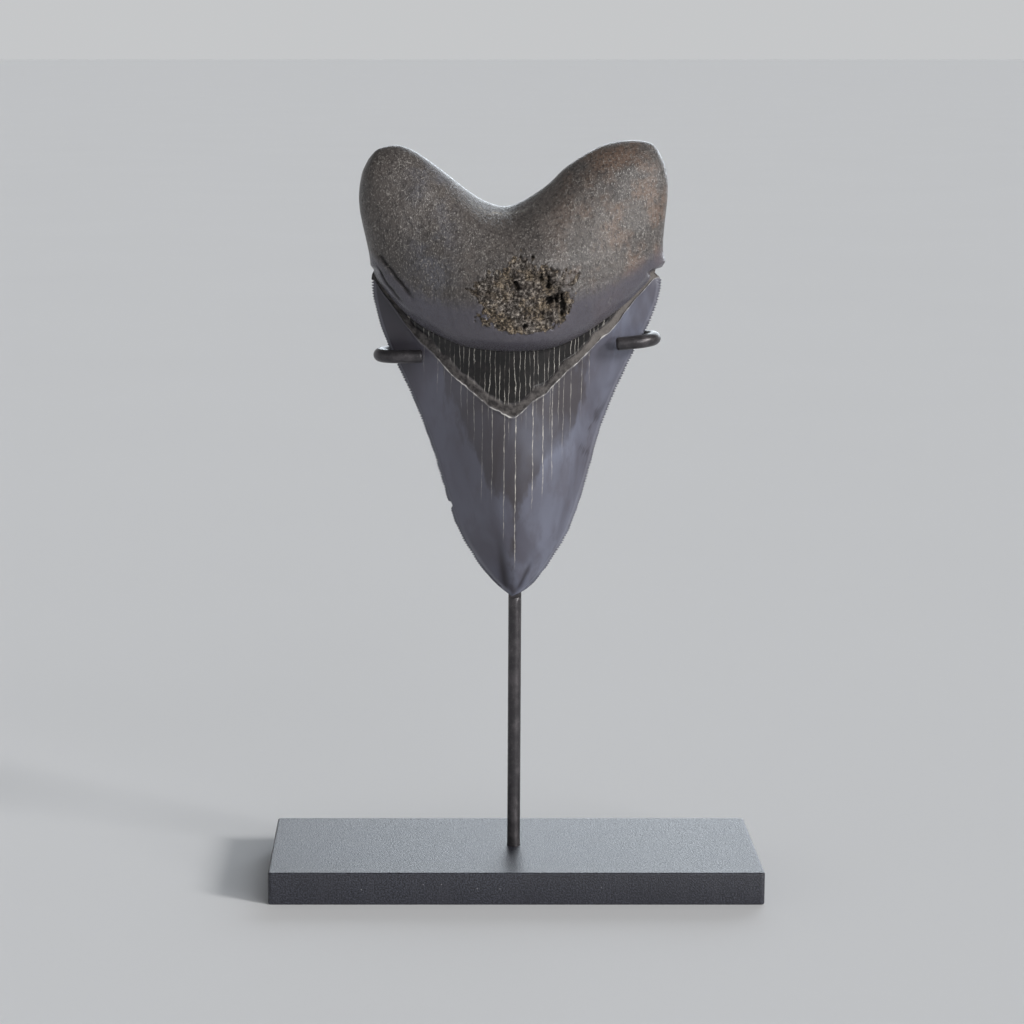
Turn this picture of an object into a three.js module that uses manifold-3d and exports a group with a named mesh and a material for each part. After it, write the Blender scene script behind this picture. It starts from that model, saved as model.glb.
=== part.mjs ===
// A fossil megalodon tooth on a steel display stand.
// Millimetres, +Z up. The origin is the centre of the base's underside.
// The tooth stands on its tip, root up, with its bulging tongue-side face towards -Y.

import * as THREE from 'three';
import { ParametricGeometry } from 'three/addons/geometries/ParametricGeometry.js';
import { mergeVertices } from 'three/addons/utils/BufferGeometryUtils.js';
import Module from 'manifold-3d';

// Base block
const BASE_WIDTH = 150;
const BASE_DEPTH = 60;
const BASE_HEIGHT = 10;
const BASE_CORNER_RADIUS = 1.2;
const BASE_EDGE_BEVEL = 0.4;

// Rod that the post and both arms are made from, and the clearance between touching pieces
const ROD_RADIUS = 2;
const FIT_GAP = 0.3;

// Post: it stands in a blind hole, and its front is cut away above a ledge that carries the tip
const SOCKET_DEPTH = 7;
const LEDGE_HEIGHT = 88.9;
const LEDGE_DEPTH = 1.2;
const POST_TOP = 174;

// Arms: both leave the post at one height, run behind the tooth and turn back round its edges
const ARM_HEIGHT = 165;
const ARM_BACK_Y = 1.4;
const HOOK_RADIUS = 6.4;
const LEFT_ARM = { side: -1, slopeDegrees: -1.2, reach: 43.1, fingerLength: 6.1 };
const RIGHT_ARM = { side: 1, slopeDegrees: 5.8, reach: 43.3, fingerLength: 5.1 };

// Tooth: where its tip stands, and how far its faces stand out from the plane of its edges
const TIP = new THREE.Vector3(-0.9, -1.2, LEDGE_HEIGHT + FIT_GAP);
const CROWN_FRONT = 13.6;
const CROWN_BACK = 2.6;
const ROOT_SLAB_FRONT = 7.5;
const ROOT_SLAB_BACK = 4;
const LOBE_ROLL = 9;
const TORUS_ROLL = 7.3;

// Where the root's upper rim starts to close, as a share of the root's height
const RIM_START = 0.8;

// Fineness of the curved pieces. A row sweep nearer a right angle crowds rows towards the rim.
const ROD_SIDES = 16;
const HOOK_STEPS = 12;
const TOOTH_COLUMNS = 36;
const TOOTH_ROWS = 48;
const ROW_SWEEP = 1.4;

// Outline of the tooth as X, Z from its tip. The cutting edges run up from the tip to the
// shoulders of the two root lobes, and the root's top runs between the shoulders.
const LEFT_EDGE = [
  [0, 0], [-5.5, 4.6], [-11.6, 12], [-17.2, 22], [-22, 37], [-26.6, 51.5], [-32.6, 66],
  [-39.2, 80.5], [-42.4, 92], [-43.2, 104], [-46.2, 119], [-45.7, 128], [-43.5, 133.3],
];
const RIGHT_EDGE = [
  [0, 0], [4.6, 2.6], [9, 7.2], [14, 14.6], [18, 22.5], [22.6, 37], [26.4, 51.5], [32, 66],
  [38, 78.5], [42.8, 89], [44.4, 98], [44.5, 110], [45.6, 123], [44.9, 130.5], [42.6, 136],
];
const ROOT_TOP = [
  [-43.5, 133.3], [-40.5, 136.3], [-35, 137.4], [-29.8, 135.7], [-22.7, 130.9], [-13.5, 123.8],
  [-8, 120.6], [-2.5, 119.4], [3, 121.3], [10, 126], [15, 130.8], [22, 135.4], [28, 138],
  [35, 138.9], [40.3, 138], [42.6, 136],
];

const rodSteel = new THREE.MeshStandardMaterial({ color: 0x2b2b2f, roughness: 0.42, metalness: 0.85 });
const baseSteel = new THREE.MeshStandardMaterial({ color: 0x4a4c52, roughness: 0.5, metalness: 0.8 });
const fossil = new THREE.MeshStandardMaterial({ color: 0x56565e, roughness: 0.45, metalness: 0 });

const wasm = await Module();
wasm.setup();

// ---------------------------------------------------------------- joining and cutting

function toSolid(geometry) {
  const bare = geometry.clone();
  bare.deleteAttribute('normal');
  bare.deleteAttribute('uv');
  const merged = mergeVertices(bare, 1e-4);
  const mesh = new wasm.Mesh({
    numProp: 3,
    vertProperties: new Float32Array(merged.attributes.position.array),
    triVerts: new Uint32Array(merged.index.array),
  });
  return new wasm.Manifold(mesh);
}

function toGeometry(solid) {
  const mesh = solid.getMesh();
  const geometry = new THREE.BufferGeometry();
  geometry.setAttribute('position', new THREE.BufferAttribute(mesh.vertProperties, 3));
  geometry.setIndex(new THREE.BufferAttribute(mesh.triVerts, 1));
  geometry.computeVertexNormals();
  return geometry;
}

function uprightCylinder(radius, bottom, top) {
  const geometry = new THREE.CylinderGeometry(radius, radius, top - bottom, 2 * ROD_SIDES);
  geometry.rotateX(Math.PI / 2);
  geometry.translate(0, 0, (bottom + top) / 2);
  return geometry;
}

// ---------------------------------------------------------------- stand

function makeBase() {
  const x = BASE_WIDTH / 2 - BASE_EDGE_BEVEL;
  const y = BASE_DEPTH / 2 - BASE_EDGE_BEVEL;
  const r = BASE_CORNER_RADIUS - BASE_EDGE_BEVEL;
  const plan = new THREE.Shape();
  plan.moveTo(-x + r, -y);
  plan.absarc(x - r, -y + r, r, -Math.PI / 2, 0);
  plan.absarc(x - r, y - r, r, 0, Math.PI / 2);
  plan.absarc(-x + r, y - r, r, Math.PI / 2, Math.PI);
  plan.absarc(-x + r, -y + r, r, Math.PI, 1.5 * Math.PI);
  const block = new THREE.ExtrudeGeometry(plan, {
    depth: BASE_HEIGHT - 2 * BASE_EDGE_BEVEL,
    bevelThickness: BASE_EDGE_BEVEL,
    bevelSize: BASE_EDGE_BEVEL,
    bevelSegments: 2,
    curveSegments: 4,
  });
  block.translate(0, 0, BASE_EDGE_BEVEL);
  const socket = uprightCylinder(ROD_RADIUS + FIT_GAP, BASE_HEIGHT - SOCKET_DEPTH, BASE_HEIGHT + 1);
  return toGeometry(toSolid(block).subtract(toSolid(socket)));
}

function makePost() {
  const rod = uprightCylinder(ROD_RADIUS, BASE_HEIGHT - SOCKET_DEPTH + FIT_GAP, POST_TOP);
  const cutHeight = POST_TOP - LEDGE_HEIGHT + 1;
  const cut = new THREE.BoxGeometry(3 * ROD_RADIUS, ROD_RADIUS, cutHeight);
  cut.translate(0, -1.5 * ROD_RADIUS + LEDGE_DEPTH, LEDGE_HEIGHT + cutHeight / 2);
  return toGeometry(toSolid(rod).subtract(toSolid(cut)));
}

// An arm lies in a plane through the Y axis that slopes up or down away from the post. Its rod
// starts beside the post, follows the tooth's back, turns round the edge in a half circle and
// ends in a short finger across the tooth's front.
function makeArm({ side, slopeDegrees, reach, fingerLength }) {
  const slope = THREE.MathUtils.degToRad(slopeDegrees);
  const bendStart = (reach - ROD_RADIUS) / Math.cos(slope) - HOOK_RADIUS;
  const outwards = [ROD_RADIUS + FIT_GAP, bendStart * 0.35, bendStart * 0.7];
  const points = outwards.map((distance) => new THREE.Vector2(distance, ARM_BACK_Y));
  for (let step = 0; step <= HOOK_STEPS; step += 1) {
    const angle = (Math.PI * step) / HOOK_STEPS;
    const distance = bendStart + HOOK_RADIUS * Math.sin(angle);
    points.push(new THREE.Vector2(distance, ARM_BACK_Y - HOOK_RADIUS * (1 - Math.cos(angle))));
  }
  const fingerY = ARM_BACK_Y - 2 * HOOK_RADIUS;
  points.push(new THREE.Vector2(bendStart - fingerLength / 2, fingerY));
  points.push(new THREE.Vector2(bendStart - fingerLength, fingerY));

  const route = points.map(({ x, y }) => {
    return new THREE.Vector3(side * x * Math.cos(slope), y, x * Math.sin(slope));
  });
  const section = new THREE.Shape();
  section.absarc(0, 0, ROD_RADIUS, 0, 2 * Math.PI);
  return new THREE.ExtrudeGeometry(section, {
    extrudePath: new THREE.CatmullRomCurve3(route, false, 'centripetal'),
    steps: 36,
    curveSegments: ROD_SIDES / 2,
  });
}

// ---------------------------------------------------------------- tooth

function curveThrough(points) {
  return new THREE.SplineCurve(points.map(([x, z]) => new THREE.Vector2(x, z)));
}

const leftEdge = curveThrough(LEFT_EDGE);
const rightEdge = curveThrough(RIGHT_EDGE);
const rootTop = curveThrough(ROOT_TOP);

// A point of the tooth's outline plane. across runs from 0 at the left edge to 1 at the right
// edge, and along from 0 at the tip to 1 at the root's top. The rows bend like the root's top
// does, more and more towards it.
function outlinePoint(across, along) {
  const left = leftEdge.getPointAt(along);
  const right = rightEdge.getPointAt(along);
  const shoulders = leftEdge.getPointAt(1).lerp(rightEdge.getPointAt(1), across);
  const bend = rootTop.getPointAt(across).sub(shoulders).multiplyScalar(along ** 2);
  return left.lerp(right, across).add(bend);
}

// Height at a position between the given points, joined by straight runs
function heightAt(points, position) {
  const next = Math.max(1, points.findIndex(([end]) => end >= position));
  const [start, low] = points[next - 1];
  const [end, high] = points[next];
  return THREE.MathUtils.lerp(low, high, (position - start) / (end - start));
}

// Rise of the crown's front from the tip to the root, as a share of its full height
const CROWN_RISE = [
  [0, 0], [0.015, 0.14], [0.06, 0.34], [0.15, 0.55], [0.28, 0.74], [0.45, 0.91], [0.62, 1], [1, 1],
];

// The root begins lower in the middle than at the sides. Its share of the way up, 0 at its lower
// edge and 1 at its top, is negative in the crown.
function rootRise(u, along) {
  const lowerEdge = 0.62 + 0.07 * u ** 2;
  return (along - lowerEdge) / (1 - lowerEdge);
}

// Share of the root in the shape: 0 in the crown, 1 in the root
function rootShare(rise) {
  return THREE.MathUtils.smoothstep(rise, -0.03, 0.13);
}

// How far the root's upper rim has closed: 1 below it, then a quarter circle down to 0
function rimClosing(rise) {
  const past = Math.max(0, (rise - RIM_START) / (1 - RIM_START));
  return Math.sqrt(Math.max(0, 1 - past ** 2));
}

// How far the root's roll has swelled, 1 at its crest. It starts with a rounded lip, and the
// crest stands highest in the middle of the root.
function rollSwell(u, rise) {
  const crest = 0.2 + 0.18 * Math.exp(-((u / 0.45) ** 2));
  if (rise < crest) {
    const below = Math.min(1, (crest - rise) / crest);
    return 0.4 + 0.6 * Math.sqrt(1 - below ** 2);
  }
  return Math.cos((Math.PI / 2) * (rise - crest) / (1 - crest));
}

// Height of the front face above the plane of the edges: a wedge with thin edges in the crown,
// and in the root a slab with a roll along it, which is fattest in the middle
function frontHeight(u, along) {
  const rise = rootRise(u, along);
  const wedge = 0.6 * (1 - u ** 2) + 0.4 * Math.cos((Math.PI * u) / 2) ** 2;
  const crown = CROWN_FRONT * heightAt(CROWN_RISE, along) * wedge;
  const slab = ROOT_SLAB_FRONT * Math.sqrt(1 - u ** 4);
  const across = (LOBE_ROLL + TORUS_ROLL * Math.exp(-((u / 0.5) ** 2))) * (1 - u ** 2) ** 0.4;
  const roll = across * rollSwell(u, rise);
  return THREE.MathUtils.lerp(crown, slab + roll, rootShare(rise)) * rimClosing(rise);
}

// The back swells from nothing at the tip to its full depth a quarter of the way up, and from the
// crown's depth to the root's
function backSwell(along) {
  const fullDepth = THREE.MathUtils.lerp(CROWN_BACK, ROOT_SLAB_BACK, backRootShare(along));
  return fullDepth * Math.min(1, along / 0.25) ** 0.7;
}

function backRootShare(along) {
  return THREE.MathUtils.smoothstep(along, 0.5, 0.8);
}

// Depth of the back face behind the plane of the edges
function backDepth(u, along) {
  const across = THREE.MathUtils.lerp(1 - u ** 2, Math.sqrt(1 - u ** 4), backRootShare(along));
  return backSwell(along) * across * rimClosing(rootRise(u, along));
}

// The surface goes once round the tooth: over the front from left to right, then back behind it.
// Columns crowd towards the edges and rows towards the root's rim, where the surface turns most.
// The back's middle line runs straight up the post, so the edges stand in front of it.
function toothSurface(round, row, target) {
  const inFront = round <= 0.5;
  const sweep = inFront ? round * 2 : (1 - round) * 2;
  const u = Math.sin((sweep - 0.5) * Math.PI);
  const along = Math.sin(row * ROW_SWEEP) / Math.sin(ROW_SWEEP);
  const { x, y: z } = outlinePoint((1 + u) / 2, along);
  const offset = inFront ? -frontHeight(u, along) : backDepth(u, along);
  target.set(x, offset - backSwell(along), z);
}

function makeTooth() {
  const surface = new ParametricGeometry(toothSurface, 2 * TOOTH_COLUMNS, TOOTH_ROWS);
  return toGeometry(toSolid(surface));
}

// ---------------------------------------------------------------- assembly

const group = new THREE.Group();

function addPiece(name, geometry, material) {
  const mesh = new THREE.Mesh(geometry, material);
  mesh.name = name;
  group.add(mesh);
  return mesh;
}

addPiece('base', makeBase(), baseSteel);
addPiece('post', makePost(), rodSteel);
addPiece('left_arm', makeArm(LEFT_ARM), rodSteel).position.z = ARM_HEIGHT;
addPiece('right_arm', makeArm(RIGHT_ARM), rodSteel).position.z = ARM_HEIGHT;
addPiece('tooth', makeTooth(), fossil).position.copy(TIP);

export default group;
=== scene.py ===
"""A fossil megalodon tooth on its steel stand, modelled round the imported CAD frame."""

import math

import bpy
import numpy as np
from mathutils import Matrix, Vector


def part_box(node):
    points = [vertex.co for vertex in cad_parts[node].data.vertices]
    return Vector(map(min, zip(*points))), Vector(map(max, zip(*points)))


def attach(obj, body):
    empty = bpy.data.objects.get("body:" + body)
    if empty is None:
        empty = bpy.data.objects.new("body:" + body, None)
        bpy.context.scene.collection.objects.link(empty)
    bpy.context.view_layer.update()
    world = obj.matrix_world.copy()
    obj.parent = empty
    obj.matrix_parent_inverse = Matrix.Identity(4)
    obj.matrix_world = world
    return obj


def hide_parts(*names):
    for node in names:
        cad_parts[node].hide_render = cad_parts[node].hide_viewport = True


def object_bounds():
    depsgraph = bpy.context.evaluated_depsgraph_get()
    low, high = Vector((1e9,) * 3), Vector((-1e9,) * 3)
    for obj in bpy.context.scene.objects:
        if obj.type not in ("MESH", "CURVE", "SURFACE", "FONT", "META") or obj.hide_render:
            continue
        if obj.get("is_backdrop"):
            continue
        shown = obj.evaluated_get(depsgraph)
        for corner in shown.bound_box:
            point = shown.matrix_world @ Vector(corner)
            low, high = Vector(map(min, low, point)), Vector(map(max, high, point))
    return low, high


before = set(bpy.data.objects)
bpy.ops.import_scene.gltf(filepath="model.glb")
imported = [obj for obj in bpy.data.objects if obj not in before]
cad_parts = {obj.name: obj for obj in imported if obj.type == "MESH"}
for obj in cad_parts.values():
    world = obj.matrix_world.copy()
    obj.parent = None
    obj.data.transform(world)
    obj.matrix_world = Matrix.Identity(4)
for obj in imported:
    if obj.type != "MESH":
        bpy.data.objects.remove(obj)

MM = 0.001
CAD_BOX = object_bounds()

# ------------------------------------------------------------------ sizes, in millimetres

ROD_RADIUS = 2.0
LEDGE_DEPTH = 1.2
SOCKET_DEPTH = 7
SOCKET_GAP = 0.04
# Length of each arm's finger in front of the tooth, and the arm's slope in degrees
FINGER = {"left_arm": 6.1, "right_arm": 5.1}
SLOPE = {"left_arm": -1.2, "right_arm": 5.8}
# How far the tooth stands out in front of its flat middle plane
CROWN_BULGE = 13.8
ROOT_SLAB = 7.5
ROOT_ROLL = 9
MIDDLE_ROLL = 7.3

# Outline of the tooth as X, Z from its tip
LEFT_EDGE = [
    (0, 0), (-5.5, 4.6), (-11.6, 12), (-17.2, 22), (-22, 37), (-26.6, 51.5), (-32.6, 66),
    (-39.2, 80.5), (-42.4, 92), (-43.2, 104), (-46.2, 119), (-45.7, 128), (-43.5, 133.3),
]
RIGHT_EDGE = [
    (0, 0), (4.6, 2.6), (9, 7.2), (14, 14.6), (18, 22.5), (22.6, 37), (26.4, 51.5), (32, 66),
    (38, 78.5), (42.8, 89), (44.4, 98), (44.5, 110), (45.6, 123), (44.9, 130.5), (42.6, 136),
]
ROOT_TOP = [
    (-43.5, 133.3), (-40.5, 136.3), (-35, 137.4), (-29.8, 135.7), (-22.7, 130.9), (-13.5, 123.8),
    (-8, 120.6), (-2.5, 119.4), (3, 121.3), (10, 126), (15, 130.8), (22, 135.4), (28, 138),
    (35, 138.9), (40.3, 138), (42.6, 136),
]
# Upper border of the enamel on the front, the root's lower edge, and the border on the back
ENAMEL_BORDER = [
    (-42.4, 97.6), (-36, 89.3), (-30.3, 81.7), (-23.5, 75), (-18.8, 70), (-14, 65.9), (-9.2, 61.9),
    (-4.6, 59.3), (0.3, 57.5), (4.9, 61.6), (9.7, 65.2), (14.5, 69.6), (19.3, 73.8), (24.1, 79),
    (29.8, 83.9), (34, 89.4), (40.5, 96.4), (44.4, 98.4),
]
ROOT_EDGE = [
    (-42.6, 99.6), (-36, 91.4), (-29.7, 85.2), (-20.7, 80.4), (-14.2, 78.2), (-6.5, 77.3),
    (0.8, 77.1), (8.6, 77.6), (14.3, 79), (20, 81.6), (26.8, 85.9), (33.6, 91), (39.1, 96.2),
    (44.4, 100.6),
]
BACK_BORDER = [(-43, 99), (-30, 93.5), (-15, 89.5), (0, 88), (15, 90), (30, 94), (44.4, 99.5)]
SIDE_BORDER_HEIGHT = 97.6
SIDE_ROOT_HEIGHT = 100.2

# ------------------------------------------------------------------ curves and noise


def curve_through(points, steps=24):
    """Points along a smooth curve that passes through the given ones."""
    p = np.array(points, float)
    p = np.vstack([p[0], p, p[-1]])
    t = np.linspace(0, 1, steps, endpoint=False)[:, None]
    runs = []
    for a, b, c, d in zip(p, p[1:], p[2:], p[3:]):
        leave, arrive = (c - a) / 2, (d - b) / 2
        cubic = (2 * b - 2 * c + leave + arrive) * t**3
        runs.append(cubic + (3 * c - 3 * b - 2 * leave - arrive) * t**2 + leave * t + b)
    return np.vstack([*runs, p[-1]])


def lengths_along(curve):
    return np.concatenate([[0], np.cumsum(np.linalg.norm(np.diff(curve, axis=0), axis=1))])


def point_at(curve, share):
    """X and Z at a share of the curve's length."""
    run = lengths_along(curve)
    return np.stack([np.interp(share * run[-1], run, curve[:, k]) for k in (0, 1)], -1)


def height_of(points, x):
    curve = curve_through(points)
    return np.interp(x, curve[:, 0], curve[:, 1])


def spread(count, density):
    """count + 1 positions from 0 to 1, closer together where density is high."""
    fine = np.linspace(0, 1, 4001)
    total = np.concatenate([[0], np.cumsum(density(fine[1:]))])
    return np.interp(np.linspace(0, total[-1], count + 1), total, fine)


def fade(x, start, end):
    t = np.clip((x - start) / (end - start), 0, 1)
    return t * t * (3 - 2 * t)


def hump(x, centre, width):
    return np.exp(-(((x - centre) / width) ** 2))


def noise(x, z, size, seed):
    """Smooth random heights from about -1 to 1, with bumps of about this size."""
    table = np.random.default_rng(seed).uniform(-1, 1, (128, 128))
    gx, gz = x / size + 500.3, z / size + 500.7
    ix, iz = np.floor(gx).astype(int), np.floor(gz).astype(int)
    fx, fz = gx - ix, gz - iz
    fx, fz = fx * fx * (3 - 2 * fx), fz * fz * (3 - 2 * fz)
    corner = lambda a, b: table[(ix + a) % 128, (iz + b) % 128]
    low = corner(0, 0) * (1 - fx) + corner(1, 0) * fx
    high = corner(0, 1) * (1 - fx) + corner(1, 1) * fx
    return low * (1 - fz) + high * fz


def rough(x, z, size, seed, octaves=4):
    """Noise with ever finer and fainter noise on top."""
    turned_x, turned_z = 0.8 * x - 0.6 * z, 0.6 * x + 0.8 * z
    total = 0
    for k in range(octaves):
        a, b = (x, z) if k % 2 == 0 else (turned_x, turned_z)
        total = total + noise(a, b, size / 2**k, seed + k) / 1.8**k
    return total


def distance_to(x, z, points):
    """Distance to a broken line, and the share of its length at the nearest place."""
    best = np.full(np.shape(x), np.inf)
    place = np.zeros(np.shape(x))
    ends = np.array(points, float)
    run = lengths_along(ends)
    for (ax, az), (bx, bz), start, stop in zip(ends, ends[1:], run, run[1:]):
        dx, dz = bx - ax, bz - az
        t = np.clip(((x - ax) * dx + (z - az) * dz) / (dx * dx + dz * dz), 0, 1)
        gap = np.hypot(x - ax - t * dx, z - az - t * dz)
        nearer = gap < best
        best = np.where(nearer, gap, best)
        place = np.where(nearer, (start + t * (stop - start)) / run[-1], place)
    return best, place


# ------------------------------------------------------------------ the tooth's form

left_curve = curve_through(LEFT_EDGE)
right_curve = curve_through(RIGHT_EDGE)
top_curve = curve_through(ROOT_TOP)


def share_at_height(curve, z):
    run = lengths_along(curve)
    climb = np.maximum.accumulate(curve[:, 1])
    return np.interp(z, climb, run) / run[-1]


def between(a, b, share):
    return a + (b - a) * np.asarray(share)[..., None]


def border_row(points, left_end, right_end, across):
    """A row that follows a border from one edge of the tooth to the other."""
    x = left_end[0] + (right_end[0] - left_end[0]) * across
    return np.stack([x, height_of(points, x)], -1)


def wavy_border(row):
    """The enamel's border wanders a little, and never at its two ends."""
    x = row[..., 0]
    held = fade(np.abs(x), 41, 36)
    wander = 0.42 * noise(x, 0 * x, 3.4, 11) + 0.22 * noise(x, 0 * x, 1.1, 12)
    return np.stack([x, row[..., 1] + wander * held], -1)


def lay_rows(across, crown_rows, band_rows, root_rows):
    """X and Z of the whole sheet, tip first. The rows bend to follow the enamel's border, then
    the root's lower edge, then the root's top."""
    chord = {}
    for name, curve in (("left", left_curve), ("right", right_curve)):
        border_share = share_at_height(curve, SIDE_BORDER_HEIGHT)
        root_share = share_at_height(curve, SIDE_ROOT_HEIGHT)
        chord[name] = (curve, border_share, root_share)
    ends = {name: point_at(curve, b) for name, (curve, b, r) in chord.items()}
    root_ends = {name: point_at(curve, r) for name, (curve, b, r) in chord.items()}
    border = wavy_border(border_row(ENAMEL_BORDER, ends["left"], ends["right"], across))
    edge = border_row(ROOT_EDGE, root_ends["left"], root_ends["right"], across)
    border[0], border[-1] = ends["left"], ends["right"]
    edge[0], edge[-1] = root_ends["left"], root_ends["right"]
    top = point_at(top_curve, across)
    rows = []
    border_bend = border - between(ends["left"], ends["right"], across)
    edge_bend = edge - between(root_ends["left"], root_ends["right"], across)
    top_bend = top - between(left_curve[-1], right_curve[-1], across)
    for share in crown_rows:
        a = point_at(left_curve, share * chord["left"][1])
        b = point_at(right_curve, share * chord["right"][1])
        rows.append(between(a, b, across) + border_bend * share)
    for share in band_rows[1:]:
        rows.append(border + (edge - border) * share)
    for share in root_rows[1:]:
        a = point_at(left_curve, chord["left"][2] + share * (1 - chord["left"][2]))
        b = point_at(right_curve, chord["right"][2] + share * (1 - chord["right"][2]))
        rows.append(between(a, b, across) + edge_bend * (1 - share) + top_bend * share)
    return np.array(rows)


def widths_at(z):
    """Middle and half width of the crown at each height."""
    left = np.interp(z, np.maximum.accumulate(left_curve[:, 1]), left_curve[:, 0])
    right = np.interp(z, np.maximum.accumulate(right_curve[:, 1]), right_curve[:, 0])
    return (left + right) / 2, np.maximum((right - left) / 2, 0.01)


def back_root_share(z):
    return fade(z, 66, 106)


def back_swell(z):
    depth = 2.6 + 1.4 * back_root_share(z)
    return depth * np.clip(z / 33, 0, 1) ** 0.7


def crown_height(x, z):
    middle, half = widths_at(z)
    u = np.clip((x - middle) / half, -1, 1)
    wedge = 0.6 * (1 - u**2) + 0.4 * np.cos(np.pi * u / 2) ** 2
    return CROWN_BULGE * (1 - np.exp(-z / 26)) ** 0.85 * wedge


def rim_closing(rise):
    return np.sqrt(np.clip(1 - np.clip((rise - 0.8) / 0.2, 0, 1) ** 2, 0, 1))


def crest_rise(u):
    """Where the root stands out furthest, as a share of the way up it."""
    return 0.2 + 0.18 * hump(u, 0, 0.45)


def root_height(u, rise):
    """Height of the root's front: a slab, and along it a roll that is fattest in the middle. The
    roll starts with a rounded lip and its crest climbs towards the ends of the lobes."""
    slab = ROOT_SLAB * np.sqrt(np.clip(1 - u**4, 0, 1))
    roll = (ROOT_ROLL + MIDDLE_ROLL * hump(u, 0, 0.5)) * np.clip(1 - u**2, 0, 1) ** 0.4
    crest = crest_rise(u)
    below = np.clip((crest - rise) / crest, 0, 1)
    above = np.clip((rise - crest) / (1 - crest), 0, 1)
    swell = np.where(rise < crest, 0.4 + 0.6 * np.sqrt(1 - below**2), np.cos(np.pi / 2 * above))
    return slab + roll * swell


# ------------------------------------------------------------------ the tooth's surface detail

# Pale cracks that run down the blade from the enamel's border: X, and the Z where each ends
BLADE_CRACKS = [
    (-22.9, 62), (-18.8, 61.5), (-15.7, 57), (-14, 53.5), (-12, 46), (-9.6, 29.7), (-7.8, 53),
    (-6.6, 30), (-3, 17.5), (-1.7, 48), (0.4, 8), (1.9, 54), (3.5, 52), (5.5, 27), (6.6, 56),
    (8.6, 30), (10.6, 50), (11.4, 36), (13.2, 53), (14.7, 43), (16.9, 49), (20.2, 54), (-20.9, 66),
    (22.4, 63), (-27, 67.5),
]
STRONG_CRACKS = {0.4: 1.0, -3: 0.85, 8.6: 1.0, 5.5: 0.9, -6.6: 0.7, -9.6: 0.55, 11.4: 0.75}
# Fine cracks in the root, as lines from point to point
ROOT_CRACKS = [
    [(-34.3, 118), (-31.9, 115.5), (-29, 111.5), (-27.8, 107.4), (-26.7, 105.4)],
    [(-18.7, 122.1), (-16.1, 117.9), (-13.2, 114.5)],
    [(-19, 104.2), (-14.5, 101.3), (-13, 97.7), (-10.2, 95.9)],
    [(-12, 111), (-7, 108), (-4.5, 105)],
    [(17, 121.5), (23, 122.8), (27.5, 123.4)],
    [(31, 101), (29, 96), (27.8, 91)],
]
# A thin pale line along the rim of the notch between the lobes: a painted highlight of the light along that
# rim
NOTCH_HIGHLIGHT = [(-13, 121), (-8.4, 117.9), (-2.4, 117.5), (2.6, 118.5), (7, 121.6)]
ROOT_GROOVES = [
    [(-42.6, 108), (-38.5, 103.6), (-33.5, 97.5), (-29.3, 91.4)],
    [(-41.8, 103.4), (-37.5, 97), (-32, 90.6)],
]
# The patch where the root's bulge has broken away: its middle and half sizes
BREAK_MIDDLE = (2.4, 94.6)
BREAK_HALF = (14.6, 10.8)
# Deep holes in the patch: X, Z, half width, half height, depth
BREAK_HOLES = [
    (10.6, 93.8, 2.1, 1.7, 3.4), (9.5, 98.4, 0.8, 2.6, 2.2), (13.4, 91.2, 0.8, 2.3, 2),
    (0.6, 97, 1.4, 1.2, 1.9), (2.6, 85.7, 0.6, 0.6, 1.4), (7.2, 99.9, 0.5, 1, 1.2),
]


def from_break(x, z):
    """How far out a point lies from the broken patch's middle: about 1 on its ragged edge."""
    out = np.hypot((x - BREAK_MIDDLE[0]) / BREAK_HALF[0], (z - BREAK_MIDDLE[1]) / BREAK_HALF[1])
    fibres = 0.09 * noise(x, 0.3 * z, 0.7, 37) * fade(z, 96, 102)
    return out + 0.2 * rough(x, z, 5, 31) + 0.11 * rough(x, z, 1.3, 35) + fibres


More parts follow.
